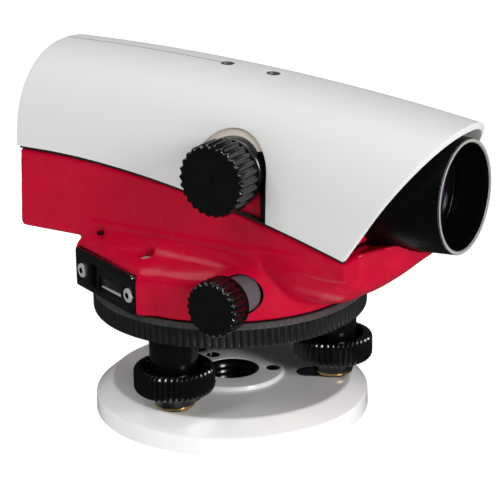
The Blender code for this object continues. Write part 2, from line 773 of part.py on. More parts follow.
def focusing():
    """The sliding lens cell with its rack, the pinion across it and the knob outside."""
    cell = [(8.5, 33), (10.9, 33), (10.9, 21), (7.2, 21), (7.2, 23), (8.5, 23)]
    turned("focus_cell", cell, "black_anodised", (0, 0, TUBE_Z), "X", 24)
    lens = [(0, 26.6), (8.2, 28.0), (8.2, 23.3), (0, 24.6)]
    turned("focus_lens", lens, "glass", (0, 0, TUBE_Z), "X", 20)
    teeth = []
    rack_top = FOCUS_Z - PINION_R - GAP
    count = 16
    for i in range(count):
        x = 10.0 + 24.0 * i / count
        teeth += [(x, rack_top - 0.9), (x + 0.75, rack_top)]
    rack = [(34.0, rack_top - 0.9), (34.0, rack_top - 2.6), (10.0, rack_top - 2.6)] + teeth
    outline("focus_rack", [rack], 11.3, 14.3, "brass", SIDEWAYS)
    inner, outer = FOCUS_KNOB_Y
    pinion = [
        (0, -10.6),
        (PINION_R, -10.6),
        (PINION_R, -15.2),
        (1.5, -15.2),
        (1.5, -outer + 2.6),
        (0, -outer + 2.6),
    ]
    turned("focus_pinion", pinion, "steel", (FOCUS_X, 0, FOCUS_Z), "Y", 14)
    flip = Matrix.Translation((FOCUS_X * MM, 0, FOCUS_Z * MM)) @ SIDEWAYS
    knob = outline("focus_knob", [ribbed(FOCUS_KNOB_R, 0.8, 26)], inner, outer, "black_satin", flip)
    centre = (FOCUS_X, FOCUS_Z)
    bore = rod("focus_knob_bore", 1.5 + GAP, -outer + 2.2, -20, centre=centre, axis="Y", steps=14)
    cut(knob, bore)
    bush = [(2.0, -20.4), (6.2, -20.4), (6.2, -21.8), (4.7, -21.8), (4.7, -29.0), (2.0, -29.0)]
    turned("focus_bush", bush, "brass", (FOCUS_X, 0, FOCUS_Z), "Y", 18)


def chassis():
    """Inner casting: the tube that the focusing cell slides in, and the compensator's frame."""
    tube = [(11.3, 44), (12.6, 44), (12.6, 4), (11.3, 4)]
    body = turned("chassis", tube, "aluminium", (0, 0, TUBE_Z), "X", 28)
    frame = block("compensator_box", (-34, -11, TUBE_Z - 12), (6, 11, 106))
    foot = block("chassis_foot", (-34, -8, 64.2), (40, 8, TUBE_Z - 11.6))
    join(body, frame, foot)
    cut(body, block("pendulum_room", (-31, -20, TUBE_Z - 9), (1, 20, 103)))
    cut(body, rod("light_path", 8.4, -40, 12, centre=(0, TUBE_Z), axis="X"))
    cut(body, block("rack_slot", (1, -20, 82), (43, -9, 94.5)))
    cut(body, rod("tube_clear", 11.3, 5, 50, centre=(0, TUBE_Z), axis="X", steps=28))


def compensator():
    x, z = PENDULUM_PIVOT
    pivot = (x, 0, z)
    pendulum = block("pendulum", (x - 6, -7, 78), (x + 6, 7, 94), "brass", 0.6, pivot)
    cut(pendulum, rod("pendulum_bore", 5.2, x - 8, x + 8, centre=(0, TUBE_Z), axis="X"))
    block("pendulum_mirror", (x - 9.3, -5, 79), (x - 6.3, 5, 90), "mirror", 0.3, pivot)
    loops = [
        (x - 5, 102.4),
        (x + 5, 102.4),
        (x + 5, 100.8),
        (x + 4.2, 100.8),
        (x + 2.6, 94.5),
        (x + 1.6, 94.5),
        (x + 2.8, 100.8),
        (x - 2.8, 100.8),
        (x - 1.6, 94.5),
        (x - 2.6, 94.5),
        (x - 4.2, 100.8),
        (x - 5, 100.8),
    ]
    outline("suspension_tapes", [loops], -3, 3, "steel", SIDEWAYS)
    block("damping_magnet", (x - 3, -9.6, 75.8), (x + 3, -7.4, 90), "steel")


def eyepiece():
    sleeve("reticle_cell", 6.0, 9.8, -44, -38, "brass", (0, TUBE_Z), "X", 24)
    rod("reticle", 5.7, -41.6, -40.4, "glass", (0, TUBE_Z), "X", 20)
    barrel = [(7.6, -46), (9.2, -46), (9.2, -69), (7.6, -69)]
    turned("eyepiece_barrel", barrel, "black_anodised", (0, 0, TUBE_Z), "X", 28)
    cell = [(5.6, -56), (7.3, -56), (7.3, -68), (5.6, -68)]
    turned("ocular_cell", cell, "black_anodised", (0, 0, TUBE_Z), "X", 24)
    lens = [(0, -61.4), (5.3, -62.6), (5.3, -65), (0, -66.2)]
    turned("ocular_lens", lens, "glass", (0, 0, TUBE_Z), "X", 20)
    ring = [(9.5, -63.4), (11.6, -63.4), (12.0, -63.9), (12.0, -69.6), (11.5, -70.1), (9.5, -70.1)]
    turned("diopter_ring", ring, "black_satin", (0, 0, TUBE_Z), "X", 36)
    cup = [
        (9.0, -70.4),
        (11.2, -70.4),
        (11.4, -71.6),
        (11.4, -74.0),
        (10.4, -75.2),
        (9.4, -75.2),
        (8.6, -73.6),
        (8.0, -70.9),
    ]
    turned("eyecup", cup, "rubber", (0, 0, TUBE_Z), "X", 32)


# ---------------------------------------------------------------- circular level


def circular_level():
    x, y = LEVEL_CENTRE
    profile = [(0, 59.0), (6.9, 59.0), (6.9, 68.2), (8.6, 68.2), (8.6, 57.0), (0, 57.0)]
    turned("level_housing", profile, "black_satin", (x, y, 0), steps=28)
    vial = [(0, 66.4), (3.4, 66.2), (6.5, 65.4), (6.5, 59.4), (0, 59.4)]
    turned("level_vial", vial, "glass", (x, y, 0), steps=24)
    side = [(6.0, 76.0), (6.0, 68.6), (-7.6, 68.6), (-7.6, 70.0), (-2.0, 70.0), (3.6, 76.0)]
    upright = Matrix.Translation((x * MM, y * MM, 0)) @ SIDEWAYS
    prism = outline("level_prism", [side], -6.0, 6.0, "black_satin", upright)
    cut(prism, rod("prism_view", 5.4, 67, 73.4, centre=(x - 1.5, y)))


def build():
    clear_scene()
    base_plate()
    for key, angle in FOOT_ANGLES.items():
        foot_spring(key, angle)
        foot_screw(key, angle)
        foot_bush(key, angle)
    tribrach()
    circle_ring()
    vertical_axis()
    worm_drive()
    main_housing()
    top_cover()
    gaskets()
    reading_window()
    objective()
    chassis()
    focusing()
    compensator()
    eyepiece()
    circular_level()


build()
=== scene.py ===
"""Looks of the automatic level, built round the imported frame.

Lengths below are in millimetres, in the frame's own axes, and become metres where the meshes are made.
"""

import json
import math

import bmesh
import bpy
from mathutils import Matrix, Vector


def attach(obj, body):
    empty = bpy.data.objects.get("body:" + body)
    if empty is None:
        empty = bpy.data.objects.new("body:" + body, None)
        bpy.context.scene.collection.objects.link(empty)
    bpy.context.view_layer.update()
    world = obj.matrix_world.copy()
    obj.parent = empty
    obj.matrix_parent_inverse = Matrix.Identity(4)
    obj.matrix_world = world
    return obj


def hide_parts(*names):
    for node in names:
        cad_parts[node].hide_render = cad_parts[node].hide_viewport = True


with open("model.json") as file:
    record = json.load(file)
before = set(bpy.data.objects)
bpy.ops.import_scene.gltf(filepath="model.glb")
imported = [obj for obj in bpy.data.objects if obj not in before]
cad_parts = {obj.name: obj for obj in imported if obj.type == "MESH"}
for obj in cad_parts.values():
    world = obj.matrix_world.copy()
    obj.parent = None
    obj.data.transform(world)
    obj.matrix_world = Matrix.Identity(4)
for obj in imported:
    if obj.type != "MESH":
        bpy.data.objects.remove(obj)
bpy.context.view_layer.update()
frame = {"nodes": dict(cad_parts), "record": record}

MM = 0.001

# Telescope, cover and housing
REAR_X = -62.9
FRONT_X = 60.0
FLOOR_Z = 60.4
CREST = (116.47, -0.0677, -0.00057)  # height of the cover's ridge: a + b x + c x^2
HALF_WIDTH = 29.3
ARCH_HEIGHT = 30.0
ARCH_POWER = 2.24
SIDE_DRAFT = 0.06
COVER_WALL = 2.2
COVER_EDGE_ROUND = 0.45
HEM_REAR_Z = 88.0
HEM_TURN_X = -52.0
HEM_DROP = 0.00514
HEM_POWER = 1.75
COVER_TIP = (85.7, 106.5)
COVER_SLANT = 0.68  # the front edge runs forward this much for each unit up
NOTCH = (19.6, 90.4, 12.9)  # x, z and radius of the cover's notch round the focusing knob
COVER_SCREWS_X = (0.9, 18.0)
TUBE_Z = 84.4
RIM_X = 85.5
RIM_R = 17.9
ROOT_R = 19.3

# Lower block
BLOCK_BOTTOM = 44.3
BLOCK_R = 44.0
WALL_TOP = 57.5
SHOULDER_Z = 61.5
CREASE_Z = 65.0
POD_NORMAL = 245.2  # direction that the reading window's flat faces, in degrees
POD_DISTANCE = 44.1
SHOULDER_SCREW = (-8.5, -34.8)
DRAIN_HOLE = (-29.2, -31.2)
LEVEL_CENTRE = (-25.0, 38.6)

# Knobs: axis position, radius, inner and outer ends along Y
FOCUS_AXIS = (20.0, 90.4)
FOCUS_KNOB = (11.6, 29.6, 41.0)
DRIVE_AXIS = (25.3, 53.0)
DRIVE_KNOB = (9.0, 41.6, 50.5)

# Base, foot screws, circle
BASE_R = 45.5
BASE_TOP = 10.6
BOSS_R = 17.4
BOSS_TOP = 12.0
TRIPOD_HOLE_R = 8.2
FOOT_R = 33.9
FOOT_ANGLES = {"a": 30, "b": 150, "c": 270}
FOOT_KNOB_R = 13.1
FOOT_KNOB_Z = (15.6, 24.9)
RING_R = 45.2
RING_Z = (36.0, 43.9)
RING_RIBS = 124
KNURL_TOP = 42.3

# Ribs of the knobs, and the grid that the housing's joined shapes are blended on
FOOT_KNOB_RIBS = 46
FOCUS_KNOB_RIBS = 26
DRIVE_KNOB_RIBS = 24
DIOPTER_RIBS = 36
BLEND_GRID = 0.55
BLEND_ROUNDS = 7

# Camera: place and aim in millimetres, lens in millimetres, shift as parts of the frame
CAMERA_PLACE = (347.4, -536.2, 267.0)
CAMERA_AIM = (0, 0, 50.6)
CAMERA_ROLL = -1.18  # degrees
CAMERA_LENS = 147.7
CAMERA_SHIFT = (0.041, 0.017)


# ---------------------------------------------------------------- mesh tools


def crest(x):
    return CREST[0] + CREST[1] * x + CREST[2] * x * x


def hem(x):
    return HEM_REAR_Z - HEM_DROP * max(x - HEM_TURN_X, 0) ** HEM_POWER


def polar(radius, degrees):
    angle = math.radians(degrees)
    return radius * math.cos(angle), radius * math.sin(angle)


def rounded(points, radius, segments=3, closed=True):
    """The outline with each corner turned into an arc; a point may carry its own radius."""
    made = []
    count = len(points)
    for i, point in enumerate(points):
        here = Vector(point[:2])
        size = point[2] if len(point) > 2 else radius
        if size <= 0 or (not closed and i in (0, count - 1)):
            made.append(tuple(here))
            continue
        before = Vector(points[i - 1][:2])
        after = Vector(points[(i + 1) % count][:2])
        to_before, to_after = before - here, after - here
        reach = min(size, to_before.length * 0.45, to_after.length * 0.45)
        start = here + to_before.normalized() * reach
        end = here + to_after.normalized() * reach
        for k in range(segments + 1):
            t = k / segments
            made.append(tuple(start * (1 - t) ** 2 + here * 2 * t * (1 - t) + end * t * t))
    return made


def link(name, mesh):
    item = bpy.data.objects.new(name, mesh)
    bpy.context.scene.collection.objects.link(item)
    return item


def from_faces(name, points, faces, smooth=35):
    mesh = bpy.data.meshes.new(name)
    mesh.from_pydata([tuple(v * MM for v in p) for p in points], [], faces)
    work = bmesh.new()
    work.from_mesh(mesh)
    bmesh.ops.remove_doubles(work, verts=work.verts, dist=0.000002)
    bmesh.ops.recalc_face_normals(work, faces=work.faces)
    work.to_mesh(mesh)
    work.free()
    mesh.shade_smooth()
    mesh.set_sharp_from_angle(angle=math.radians(smooth))
    return link(name, mesh)


def along(axis, radius, angle, height, centre):
    """The point at a radius and angle round an axis, at a height along it."""
    u, v = radius * math.cos(angle), radius * math.sin(angle)
    if axis == "X":
        return (height, centre[0] + u, centre[1] + v)
    if axis == "Y":
        return (centre[0] + u, height, centre[1] + v)
    return (centre[0] + u, centre[1] + v, height)


def spun(name, profile, steps, axis="Z", centre=(0, 0), ribs=0, depth=0.0, shape=1.0, smooth=35):
    """Turns (radius, height, rib weight) points about an axis.

    The profile is a loop, or runs from axis to axis.  Ribs are waves of the given depth, taken off
    the radius where a point's weight is above 0; a shape under 1 makes the ribs wide and the valleys
    narrow.
    """
    count = len(profile)
    ring = profile[0][0] > 0
    points = []
    for point in profile:
        weight = point[2] if len(point) > 2 else 0.0
        for i in range(steps):
            angle = math.tau * i / steps
            wave = (0.5 - 0.5 * math.cos(angle * ribs)) ** (1 / shape) if ribs else 0.0
            radius = max(point[0] - depth * weight * wave, 0.0)
            points.append(along(axis, radius, angle, point[1], centre))
    faces = []
    for j in range(count if ring else count - 1):
        k = (j + 1) % count
        for i in range(steps):
            n = (i + 1) % steps
            faces.append((j * steps + i, j * steps + n, k * steps + n, k * steps + i))
    return from_faces(name, points, faces, smooth)


def evaluated(item):
    bpy.context.view_layer.update()
    graph = bpy.context.evaluated_depsgraph_get()
    return bpy.data.meshes.new_from_object(item.evaluated_get(graph))


def apply(item, smooth=35):
    """Makes the modifiers final and shades the result."""
    mesh = evaluated(item)
    item.modifiers.clear()
    item.data = mesh
    mesh.shade_smooth()
    mesh.set_sharp_from_angle(angle=math.radians(smooth))
    return item


def boolean(item, cutters, operation="DIFFERENCE", smooth=35, keep_looks=False):
    """Cuts or joins; with keep_looks the cut faces take each cutter's material."""
    for cutter in cutters:
        step = item.modifiers.new("cut", "BOOLEAN")
        step.object = cutter
        step.operation = operation
        step.solver = "EXACT" if keep_looks else "MANIFOLD"
        if keep_looks:
            step.material_mode = "TRANSFER"
    apply(item, smooth)
    for cutter in cutters:
        bpy.data.objects.remove(cutter)
    return item


def bevel(item, width, segments=2, angle=40, smooth=35):
    step = item.modifiers.new("round", "BEVEL")
    step.width = width * MM
    step.segments = segments
    step.limit_method = "ANGLE"
    step.angle_limit = math.radians(angle)
    step.use_clamp_overlap = True
    step.miter_outer = "MITER_ARC"
    return apply(item, smooth)


def prism(name, outline, low, high, turn=None, smooth=35):
    """An outline given a thickness from low to high along its own z axis."""
    count = len(outline)
    points = [(p[0], p[1], low) for p in outline] + [(p[0], p[1], high) for p in outline]
    faces = [tuple(range(count)), tuple(range(count, 2 * count))]
    for i in range(count):
        n = (i + 1) % count
        faces.append((i, n, count + n, count + i))
    item = from_faces(name, points, faces, smooth)
    if turn:
        item.data.transform(turn)
    return item


def loft(name, rings, smooth=35):
    count = len(rings[0])
    points = [p for ring in rings for p in ring]
    faces = [tuple(range(count)), tuple(range((len(rings) - 1) * count, len(rings) * count))]
    for i in range(len(rings) - 1):
        for j in range(count):
            k = (j + 1) % count
            faces.append((i * count + j, i * count + k, (i + 1) * count + k, (i + 1) * count + j))
    return from_faces(name, points, faces, smooth)


def box(name, low, high):
    outline = [(low[0], low[1]), (high[0], low[1]), (high[0], high[1]), (low[0], high[1])]
    return prism(name, outline, low[2], high[2])


def rod(name, radius, low, high, axis="Z", centre=(0, 0), steps=48):
    return spun(name, [(0, low), (radius, low), (radius, high), (0, high)], steps, axis, centre)


def rectangle(left, right, bottom, top):
    return [(left, bottom), (right, bottom), (right, top), (left, top)]


SIDEWAYS = Matrix.Rotation(math.radians(90), 4, "X")


def pod_frame():
    """Local x along the reading window's face, y up and z out of it, with its origin at mid face."""
    turn = Matrix.Rotation(math.radians(POD_NORMAL + 90), 4, "Z") @ SIDEWAYS
    x, y = polar(POD_DISTANCE, POD_NORMAL)
    return Matrix.Translation((x * MM, y * MM, 51.0 * MM)) @ turn


# ---------------------------------------------------------------- materials


class Look:
    """A material under construction: a Principled shader and the nodes that feed it."""

    def __init__(self, name, colour, roughness, metallic=0.0, **sockets):
        self.material = bpy.data.materials.new(name)
        self.material.use_nodes = True
        self.tree = self.material.node_tree
        self.shader = self.tree.nodes["Principled BSDF"]
        self.shader.inputs["Base Color"].default_value = (*colour, 1)
        self.shader.inputs["Roughness"].default_value = roughness
        self.shader.inputs["Metallic"].default_value = metallic
        for key, value in sockets.items():
            self.shader.inputs[key.replace("_", " ")].default_value = value
        self.colour = colour
        self.roughness = roughness
        self.place = self.tree.nodes.new("ShaderNodeTexCoord").outputs["Object"]

    def node(self, kind, **inputs):
        made = self.tree.nodes.new(kind)
        for key, value in inputs.items():
            socket = made.inputs[key.replace("_", " ")]
            if isinstance(value, bpy.types.NodeSocket):
                self.tree.links.new(value, socket)
            else:
                socket.default_value = value
        return made

    def noise(self, size, detail=2.0, stretch=None):
        """Noise whose features are about size millimetres across."""
        place = self.place
        if stretch:
            place = self.node("ShaderNodeMapping", Vector=place, Scale=stretch).outputs["Vector"]
        made = self.node("ShaderNodeTexNoise", Vector=place, Scale=1 / (size * MM), Detail=detail)
        return made.outputs["Fac"]

    def spread(self, value, low, high, from_low=0.3, from_high=0.7):
        made = self.node("ShaderNodeMapRange", Value=value)
        made.inputs["From Min"].default_value = from_low
        made.inputs["From Max"].default_value = from_high
        made.inputs["To Min"].default_value = low
        made.inputs["To Max"].default_value = high
        return made.outputs["Result"]

    def mottle(self, size, amount):
        """Slight lighter and darker patches in the colour."""
        factor = self.spread(self.noise(size, 3.0), 0.0, 1.0)
        mix = self.tree.nodes.new("ShaderNodeMix")
        mix.data_type = "RGBA"
        self.tree.links.new(factor, mix.inputs["Factor"])
        mix.inputs["A"].default_value = (*(c * (1 - amount) for c in self.colour), 1)
        mix.inputs["B"].default_value = (*(min(c * (1 + amount), 1) for c in self.colour), 1)
        self.tree.links.new(mix.outputs["Result"], self.shader.inputs["Base Color"])
        return self

    def uneven(self, size, amount):
        """Roughness that varies by amount each way."""
        value = self.spread(self.noise(size, 4.0), self.roughness - amount, self.roughness + amount)
        self.tree.links.new(value, self.shader.inputs["Roughness"])
        return self

    def bumps(self, size, height, detail=3.0, stretch=None, strength=1.0):
        """Fine relief; height is in millimetres."""
        noise = self.noise(size, detail, stretch)
        bump = self.node("ShaderNodeBump", Height=noise, Strength=strength, Distance=height * MM)
        previous = self.shader.inputs["Normal"].links
        if previous:
            self.tree.links.new(previous[0].from_socket, bump.inputs["Normal"])
        self.tree.links.new(bump.outputs["Normal"], self.shader.inputs["Normal"])
        return self


def make_looks():
    looks = {
        "white_enamel": Look("white_enamel", (0.9, 0.9, 0.9), 0.22, Coat_Weight=0.6, Coat_Roughness=0.08)
        .mottle(14, 0.015)
        .uneven(5, 0.05)
        .bumps(2.2, 0.012),
        "cover_white": Look("cover_white", (0.66, 0.66, 0.655), 0.5)
        .mottle(30, 0.012)
        .uneven(4, 0.05)
        .bumps(0.35, 0.008, 2.0),
        "cover_shade": Look("cover_shade", (0.3, 0.3, 0.3), 0.6).mottle(5, 0.05),
        "red_paint": Look("red_paint", (0.455, 0.0016, 0.024), 0.22, Specular_IOR_Level=0.2)
        .mottle(9, 0.05)
        .uneven(3, 0.06)
        .bumps(0.9, 0.012)
        .bumps(6, 0.03),
        "black_metal": Look("black_metal", (0.002, 0.0022, 0.0025), 0.2, 0.0, Specular_IOR_Level=0.5)
        .mottle(4, 0.12)
        .uneven(2, 0.06)
        .bumps(0.5, 0.008),
        "black_tube": Look("black_tube", (0.002, 0.0022, 0.0025), 0.3, 0.0, Specular_IOR_Level=0.13)
        .mottle(4, 0.1)
        .uneven(2, 0.05)
        .bumps(0.4, 0.006, stretch=(4, 1, 1)),
        "black_ring": Look("black_ring", (0.008, 0.008, 0.009), 0.36, Specular_IOR_Level=0.9)
        .mottle(2, 0.15)
        .bumps(0.4, 0.01),
        "blasted_metal": Look("blasted_metal", (0.045, 0.045, 0.046), 0.6)
        .mottle(1.2, 0.3)
        .bumps(0.35, 0.03),
        "black_plastic": Look("black_plastic", (0.002, 0.0022, 0.0025), 0.22, Specular_IOR_Level=0.7)
        .mottle(3, 0.1)
        .uneven(1.5, 0.06)
        .bumps(0.3, 0.006),
        "grey_plastic": Look("grey_plastic", (0.085, 0.085, 0.10), 0.45).uneven(2, 0.05).bumps(0.4, 0.008),
        "rubber": Look("rubber", (0.010, 0.010, 0.010), 0.7).mottle(2, 0.15).bumps(0.25, 0.012),
        "brass": Look("brass", (0.58, 0.38, 0.15), 0.3, 1.0)
        .mottle(5, 0.08)
        .uneven(1, 0.07)
        .bumps(0.2, 0.003),
        "steel": Look("steel", (0.56, 0.55, 0.54), 0.28, 1.0)
        .mottle(3, 0.05)
        .uneven(1, 0.08)
        .bumps(0.2, 0.003),
        "satin_nickel": Look("satin_nickel", (0.72, 0.71, 0.68), 0.42, 0.6).mottle(2, 0.04).uneven(1, 0.06),
        "aluminium": Look("aluminium", (0.62, 0.62, 0.63), 0.35, 1.0)
        .mottle(6, 0.05)
        .uneven(1, 0.06)
        .bumps(0.3, 0.004),
        "glass": Look("glass", (0.80, 0.88, 0.90), 0.04, Coat_Weight=1.0, Transmission_Weight=0.85, IOR=1.5),
        "coated_glass": Look(
            "coated_glass", (0.10, 0.05, 0.16), 0.03, Coat_Weight=1.0, Specular_IOR_Level=0.8
        ).mottle(20, 0.2),
        "dark_glass": Look("dark_glass", (0.01, 0.012, 0.013), 0.06, Coat_Weight=0.5).mottle(3, 0.2),
        # The cover's inner wall in the notch, painted darker and warmer than the cover as painted shade.
        "shaded_cover_wall": Look("shaded_cover_wall", (0.62, 0.56, 0.49), 0.5).mottle(4, 0.02).bumps(0.35, 0.008),
        "mirror": Look("mirror", (0.88, 0.88, 0.88), 0.03, 1.0).uneven(4, 0.01),
        "spirit": Look(
            "spirit", (0.55, 0.72, 0.20), 0.05, Coat_Weight=1.0, Transmission_Weight=0.3
        ).mottle(6, 0.06),
        "scale_white": Look("scale_white", (0.75, 0.75, 0.72), 0.5).mottle(3, 0.03),
    }
    looks["glass"].uneven(6, 0.01)
    return {name: look.material for name, look in looks.items()}


LOOKS = make_looks()


def painted(item, look):
    item.data.materials.clear()
    item.data.materials.append(LOOKS[look])
    return item


def finish(item, look, body, nodes=()):
    """Gives a piece its material and its body, and hides the CAD nodes that it stands for."""
    if look:
        painted(item, look)
    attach(item, body)
    if nodes:
        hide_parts(*nodes)
    return item


def repaint_nodes():
    """Every CAD node takes the look of its slot, except the brass foot springs, which are painted black as
    painted shade in the base's slots.
    """
    shaded_springs = {f"foot_spring_{key}": "black_metal" for key in FOOT_ANGLES}
    for part in frame["record"]["subparts"]:
        look = shaded_springs.get(part["node"], part["material_slot"])
        item = frame["nodes"][part["node"]]
        item.data.materials.clear()
        item.data.materials.append(LOOKS[look])


# ---------------------------------------------------------------- base plate and foot screws


def base_plate():
    insert_r = TRIPOD_HOLE_R + 0.9
    profile = rounded(
        [
            (insert_r, 0, 0.3),
            (BASE_R, 0, 0.5),
            (BASE_R - 0.15, 6.0, 0.5),
            (BASE_R - 5.6, BASE_TOP, 0.8),
            (BOSS_R + 0.2, BASE_TOP, 0.35),
            (BOSS_R, BOSS_TOP, 0.6),
            (insert_r, BOSS_TOP, 0.3),
        ],
        0.5,
        5,
    )
    plate = painted(spun("base_casting", profile, 160), "white_enamel")
    cutters = []
    for angle in FOOT_ANGLES.values():
        centre = polar(FOOT_R, angle)
        slot = []
        for middle, start in ((FOOT_R, -90), (25.5, 90)):
            for i in range(17):
                x, y = polar(3.9, start + 180 * i / 16)
                slot.append((middle + x, y))
        turn = Matrix.Rotation(math.radians(angle), 4, "Z")
        # The walls of the slots, sockets and eyes take black_metal: painted shade in these holes of the
        # white casting.
        cutters.append(painted(prism("slot", slot, 2.6, 16, turn), "black_metal"))
        cutters.append(painted(rod("socket", 5.2, 2.3, 16, centre=centre), "black_metal"))
        eye = rod("eye", 2.3, 1.2, 16, centre=polar(13.8, angle), steps=32)
        cutters.append(painted(eye, "black_metal"))
    boolean(plate, cutters, keep_looks=True)
    bevel(plate, 0.3, 2, 50)
    finish(plate, None, "base", ["base_plate"])
    insert = [(insert_r - 0.05, 0.3), (insert_r - 0.05, BOSS_TOP - 0.3)]
    insert += [(TRIPOD_HOLE_R + 0.5, BOSS_TOP - 0.3)]
    pitches = 5
    step = (BOSS_TOP - 1.2) / pitches
    for i in range(pitches):
        top = BOSS_TOP - 0.6 - i * step
        insert += [(TRIPOD_HOLE_R, top), (TRIPOD_HOLE_R, top - 0.3), (TRIPOD_HOLE_R + 0.7, top - step / 2)]
    insert += [(TRIPOD_HOLE_R, 0.6), (TRIPOD_HOLE_R + 0.3, 0.3)]
    finish(spun("tripod_thread", insert, 96), "black_metal", "base")


def foot_knob(key):
    x, y = polar(FOOT_R, FOOT_ANGLES[key])
    low, high = FOOT_KNOB_Z
    outer = FOOT_KNOB_R
    profile = [
        (2.6, 19.0),
        (9.5, 19.0),
        (9.8, 19.2),
        (9.8, high - 0.9),
        (10.0, high - 0.35),
        (10.4, high - 0.05),
        (10.9, high),
        (outer - 1.3, high, 0.1),
        (outer - 0.85, high - 0.15, 0.5),
        (outer - 0.35, high - 0.6, 0.9),
        (outer - 0.05, high - 1.2, 1.0),
        (outer, high - 1.8, 1.0),
        (outer, low + 3.0, 1.0),
        (outer - 0.05, low + 2.3, 1.0),
        (outer - 0.4, low + 1.6, 0.9),
        (outer - 1.0, low + 1.0, 0.4),
        (outer - 1.6, low + 0.8, 0.0),
        (8.4, low + 0.5),
        (7.6, low + 0.1),
        (7.2, low - 0.5),
        (6.7, 12.6),
        (3.4, 12.5),
        (3.4, 14.2),
        (2.6, 14.2),
    ]
    body = f"foot_screw_{key}"
    name = f"foot_knob_ribbed_{key}"
    steps = FOOT_KNOB_RIBS * 6
    knob = spun(name, profile, steps, "Z", (x, y), FOOT_KNOB_RIBS, depth=0.75, shape=1.6, smooth=30)
    finish(knob, "black_plastic", body, [f"foot_knob_{key}"])
    washer = rounded([(3.4, 11.4), (6.5, 11.4), (6.6, 12.4), (3.4, 12.4)], 0.2)
    finish(spun(f"foot_washer_{key}", washer, 64, centre=(x, y)), "brass", body)


def tribrach():
    disc = [
        (10.5, 55.4),
        (13.0, 55.4, 0.6),
        (13.0, 41.2, 0.6),
        (41.8, 41.2, 0.3),
        (41.8, 37.0, 0.6),
        (15.6, 37.0, 1.6),
        (15.0, 31.0, 0.8),
        (10.5, 31.0, 0.3),
    ]
    body = spun("tribrach_casting", rounded(disc, 0.4, 4), 144)
    necks = []
    bores = []
    for angle in FOOT_ANGLES.values():
        centre = polar(FOOT_R, angle)
        neck = [
            (0, 40.0, 0),
            (9.6, 40.0, 0),
            (8.6, 37.0, 0.5),
            (7.9, 35.4, 1.0),
            (7.7, 24.0, 1.0),
            (7.2, 21.4, 0.5),
            (0, 21.4, 0),
        ]
        necks.append(spun("neck", rounded(neck, 0.5, 4, closed=False), 72, centre=centre))
        bores.append(rod("bore", 5.7, 20, 45, centre=centre, steps=48))
    boolean(body, necks, "UNION")
    boolean(body, bores)
    finish(body, "black_metal", "tribrach", ["tribrach"])


def circle_ring():
    low, high = RING_Z
    wall = 42.2
    profile = [
        (wall + 0.4, high),
        (RING_R - 1.7, high),
        (RING_R - 1.3, high - 0.15),
        (RING_R - 0.25, KNURL_TOP + 0.25),
        (RING_R - 0.05, KNURL_TOP, 0.2),
        (RING_R, KNURL_TOP - 0.35, 0.8),
        (RING_R, KNURL_TOP - 0.9, 1.0),
        (RING_R, low + 1.1, 1.0),
        (RING_R - 0.05, low + 0.6, 0.6),
        (RING_R - 0.4, low + 0.15, 0.0),
        (RING_R - 0.9, low),
        (wall, low),
        (wall, high - 2.1),
        (36.2, high - 2.1),
        (36.2, high - 1.3),
        (wall + 0.4, high - 1.3),
    ]
    steps = RING_RIBS * 8
    ring = spun("circle_ring_knurled", profile, steps, ribs=RING_RIBS, depth=0.7, shape=0.7, smooth=28)
    finish(ring, "blasted_metal", "horizontal_circle", ["circle_ring"])
    ring.data.materials.append(LOOKS["black_ring"])
    for face in ring.data.polygons:
        if face.center.z < (KNURL_TOP - 0.1) * MM or Vector(face.center[:2]).length < (wall + 1) * MM:
            face.material_index = 1


# ---------------------------------------------------------------- knobs


def side_knob(name, axis_at, size, sign, ribs, depth, flange):
    """A ribbed knob on an axis along Y, with rounded rib ends and a flat face."""
    radius, inner, outer = size
    length = outer - inner
    profile = [
        (0, 0.35),
        (0.9, 0.35),
        (1.3, 0.12),
        (1.5, 0.0),
        (radius - 2.0, 0.0),
        (radius - 1.3, 0.0, 0.25),
        (radius - 0.65, 0.12, 0.7),
        (radius - 0.25, 0.45, 1.0),
        (radius - 0.05, 1.0, 1.0),
        (radius, 1.7, 1.0),
        (radius, length - 2.6, 1.0),
        (radius - 0.05, length - 2.1, 1.0),
        (radius - 0.35, length - 1.6, 0.8),
        (radius - 0.9, length - 1.3, 0.1),
        (radius - 1.1, length - 1.1, 0.0),
        (radius - flange, length - 0.9, 0.0),
        (radius - flange, length - 0.25, 0.0),
        (radius - flange - 0.3, length, 0.0),
        (0, length, 0.0),
    ]
    profile = [(p[0], sign * (outer - p[1]), *p[2:]) for p in profile]
    return spun(name, profile, ribs * 12, "Y", axis_at, ribs, depth, 0.75, 30)


def knobs():
    focus = side_knob("focus_knob_ribbed", FOCUS_AXIS, FOCUS_KNOB, -1, FOCUS_KNOB_RIBS, 0.85, 0.5)
    finish(focus, "black_plastic", "focus_knob", ["focus_knob"])
    for side, sign in (("right", -1), ("left", 1)):
        name = f"drive_knob_ribbed_{side}"
        knob = side_knob(name, DRIVE_AXIS, DRIVE_KNOB, sign, DRIVE_KNOB_RIBS, 0.75, 0.35)
        finish(knob, "black_plastic", "tangent_drive", [f"drive_knob_{side}"])
        profile = rounded(
            [(2.1, sign * 31.0), (6.1, sign * 31.0), (6.1, sign * 40.9), (2.1, sign * 40.9)], 0.5, 3
        )
        collar = spun(f"drive_collar_{side}", profile, 72, "Y", DRIVE_AXIS)
        finish(collar, "grey_plastic", "alidade", [f"drive_bush_{side}"])


def under_cover(name, outline, inset):
    """A piece of the right-hand side that follows the cover's curve, lying inset inside its face."""
    skin = arch_solid("skin", inset, FLOOR_Z, REAR_X, FRONT_X, 60)
    return boolean(prism(name, outline, 20.0, 32.0, SIDEWAYS), [skin], "INTERSECT")


